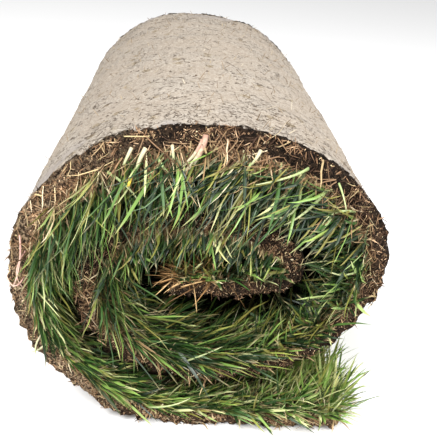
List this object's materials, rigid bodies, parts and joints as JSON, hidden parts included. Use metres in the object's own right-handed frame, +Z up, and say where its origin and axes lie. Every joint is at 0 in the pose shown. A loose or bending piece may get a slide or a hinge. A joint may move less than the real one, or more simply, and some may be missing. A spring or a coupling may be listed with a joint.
{
  "type": "roll of turf",
  "caption": "Cut strip of living turf rolled up with its grass inside and bare soil outside, lying on its side with the loose outer end flat on the floor.",
  "frame": {"origin": "middle of the underside of the whole object, on the floor it lies on", "axes": "+Z up, Y along the roll, +X towards the loose outer end of the strip"},
  "size_m": [0.3382, 0.638, 0.2951],
  "materials": {
    "soil": "rough, crumbly, dry outside and dark with roots at the cuts",
    "grass": "soft, slightly waxy blades"
  },
  "bodies": {
    "root": {"soil_mat": "soil", "grass_sward": "grass"}
  },
  "joints": []
}
